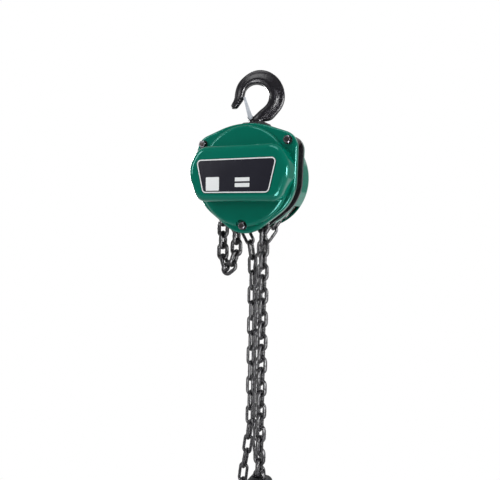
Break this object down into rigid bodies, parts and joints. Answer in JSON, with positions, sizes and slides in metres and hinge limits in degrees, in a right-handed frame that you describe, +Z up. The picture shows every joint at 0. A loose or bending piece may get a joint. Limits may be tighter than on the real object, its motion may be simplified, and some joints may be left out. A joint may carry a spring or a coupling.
{
  "type": "hand chain hoist",
  "caption": "Compact hand chain hoist: twin-plate body with gear housing, swivel top hook with latch, closed hand chain loop, load chain and latched bottom hook on a block.",
  "frame": {"origin": "seat of the top hook's bowl, on the line that the hoist hangs from", "axes": "+Z up, +Y to the rear towards the hand wheel, +X to the right as seen from the gear cover"},
  "size_m": [0.166, 0.1138, 0.7591],
  "materials": {
    "cover_paint": "gloss",
    "plate_paint": "satin",
    "label_face": "gloss",
    "fastener_black": "satin",
    "spacer_steel": "satin",
    "load_wheel_iron": "matte",
    "gear_steel": "satin",
    "bearing_steel": "polished",
    "bush_bronze": "satin",
    "friction_lining": "matte",
    "brake_steel": "satin",
    "pin_steel": "satin",
    "spring_steel": "satin",
    "wheel_plate": "satin",
    "hook_black": "semi-gloss",
    "latch_zinc": "satin",
    "block_paint": "semi-gloss",
    "load_chain_black": "semi-gloss",
    "hand_chain_steel": "satin"
  },
  "bodies": {
    "top_hook": {"top_hook": "hook_black", "top_hook_nut": "hook_black", "top_latch_pin": "pin_steel", "top_latch_spring": "spring_steel"},
    "top_latch": {"top_hook_latch": "latch_zinc"},
    "yoke": {"yoke": "load_wheel_iron"},
    "frame": {"front_side_plate": "plate_paint", "rear_side_plate": "plate_paint", "gear_cover": "cover_paint", "hand_wheel_cover": "cover_paint", "stay_bolts": "fastener_black", "cover_spacers": "spacer_steel", "cover_washers": "fastener_black", "front_cover_nuts": "fastener_black", "rear_cover_nuts": "fastener_black", "label_plate": "label_face", "front_bearing_ring": "bearing_steel", "rear_bearing_ring": "bearing_steel", "front_gear_bushes": "bush_bronze", "rear_gear_bushes": "bush_bronze", "pawl_pins": "pin_steel", "upper_pawl_spring": "spring_steel", "lower_pawl_spring": "spring_steel", "guide_roller_pins": "pin_steel", "chain_anchor_pin": "pin_steel", "chain_stripper": "pin_steel", "suspension_pin": "pin_steel", "load_chain": "load_chain_black", "hand_chain": "hand_chain_steel", "front_block_half": "block_paint", "rear_block_half": "block_paint", "block_chain_pin": "pin_steel", "block_bolts": "fastener_black", "block_nuts": "fastener_black"},
    "drive": {"drive_shaft": "gear_steel", "brake_hub": "brake_steel", "friction_discs": "friction_lining", "hand_wheel": "wheel_plate", "shaft_nut": "wheel_plate", "shaft_cotter": "spring_steel"},
    "ratchet": {"ratchet_disc": "brake_steel"},
    "left_gear": {"left_disc_gear": "gear_steel"},
    "right_gear": {"right_disc_gear": "gear_steel"},
    "sheave": {"load_sheave": "load_wheel_iron", "load_gear": "gear_steel", "load_gear_snap_ring": "spring_steel"},
    "front_rollers": {"front_bearing_rollers": "bearing_steel"},
    "rear_rollers": {"rear_bearing_rollers": "bearing_steel"},
    "upper_pawl": {"upper_pawl": "brake_steel"},
    "lower_pawl": {"lower_pawl": "brake_steel"},
    "left_guide": {"left_guide_roller": "pin_steel"},
    "right_guide": {"right_guide_roller": "pin_steel"},
    "bottom_hook": {"bottom_hook": "hook_black", "bottom_hook_nut": "hook_black", "bottom_latch_pin": "pin_steel", "bottom_latch_spring": "spring_steel"},
    "bottom_latch": {"bottom_hook_latch": "latch_zinc"}
  },
  "joints": [
    {"name": "hook_swivel", "type": "hinge", "parent": "top_hook", "child": "yoke", "pos_m": [0, 0, 0], "axis": [0, 0, 1], "continuous": true},
    {"name": "top_latch_pivot", "type": "hinge", "parent": "top_hook", "child": "top_latch", "pos_m": [-0.00804, -0.00358, -0.0512], "axis": [-0.4067, 0.9135, 0], "range_deg": [0, 38], "stiffness_Nm_per_rad": 0.05, "springref_deg": -17.19, "deforming": ["top_latch_spring"]},
    {"name": "body_swing", "type": "hinge", "parent": "yoke", "child": "frame", "pos_m": [0, 0, -0.088], "axis": [0, 1, 0], "range_deg": [-10, 10]},
    {"name": "hand_wheel_turn", "type": "hinge", "parent": "frame", "child": "drive", "pos_m": [-0.008, 0, -0.14], "axis": [0, 1, 0], "continuous": true, "deforming": ["hand_chain", "load_chain"]},
    {"name": "left_gear_turn", "type": "hinge", "parent": "frame", "child": "left_gear", "pos_m": [-0.04387, 0, -0.143], "axis": [0, 1, 0], "continuous": true},
    {"name": "right_gear_turn", "type": "hinge", "parent": "frame", "child": "right_gear", "pos_m": [0.02787, 0, -0.143], "axis": [0, 1, 0], "continuous": true},
    {"name": "sheave_turn", "type": "hinge", "parent": "frame", "child": "sheave", "pos_m": [-0.008, 0, -0.14], "axis": [0, 1, 0], "continuous": true},
    {"name": "front_rollers_turn", "type": "hinge", "parent": "frame", "child": "front_rollers", "pos_m": [-0.008, 0, -0.14], "axis": [0, 1, 0], "continuous": true},
    {"name": "rear_rollers_turn", "type": "hinge", "parent": "frame", "child": "rear_rollers", "pos_m": [-0.008, 0, -0.14], "axis": [0, 1, 0], "continuous": true},
    {"name": "ratchet_turn", "type": "hinge", "parent": "frame", "child": "ratchet", "pos_m": [-0.008, 0, -0.14], "axis": [0, 1, 0], "continuous": true},
    {"name": "upper_pawl_lift", "type": "hinge", "parent": "frame", "child": "upper_pawl", "pos_m": [0.014, 0, -0.10189], "axis": [0, 1, 0], "range_deg": [0, 15], "stiffness_Nm_per_rad": 0.02, "springref_deg": -17.19, "deforming": ["upper_pawl_spring"]},
    {"name": "lower_pawl_lift", "type": "hinge", "parent": "frame", "child": "lower_pawl", "pos_m": [-0.03, 0, -0.17811], "axis": [0, 1, 0], "range_deg": [0, 15], "stiffness_Nm_per_rad": 0.02, "springref_deg": -17.19, "deforming": ["lower_pawl_spring"]},
    {"name": "left_guide_turn", "type": "hinge", "parent": "frame", "child": "left_guide", "pos_m": [-0.05, 0, -0.154], "axis": [0, 1, 0], "continuous": true},
    {"name": "right_guide_turn", "type": "hinge", "parent": "frame", "child": "right_guide", "pos_m": [0.034, 0, -0.154], "axis": [0, 1, 0], "continuous": true},
    {"name": "bottom_hook_swivel", "type": "hinge", "parent": "frame", "child": "bottom_hook", "pos_m": [0.01492, 0, -0.6587], "axis": [0, 0, 1], "continuous": true},
    {"name": "bottom_latch_pivot", "type": "hinge", "parent": "bottom_hook", "child": "bottom_latch", "pos_m": [0.02372, 0, -0.6655], "axis": [0, 1, 0], "range_deg": [0, 38], "stiffness_Nm_per_rad": 0.05, "springref_deg": -17.19, "deforming": ["bottom_latch_spring"]}
  ],
  "couplings": [
    {"joint": "left_gear_turn", "follows": "hand_wheel_turn", "ratio": -0.18182},
    {"joint": "right_gear_turn", "follows": "hand_wheel_turn", "ratio": -0.18182},
    {"joint": "sheave_turn", "follows": "hand_wheel_turn", "ratio": 0.065657},
    {"joint": "front_rollers_turn", "follows": "hand_wheel_turn", "ratio": 0.027445},
    {"joint": "rear_rollers_turn", "follows": "hand_wheel_turn", "ratio": 0.027445}
  ]
}
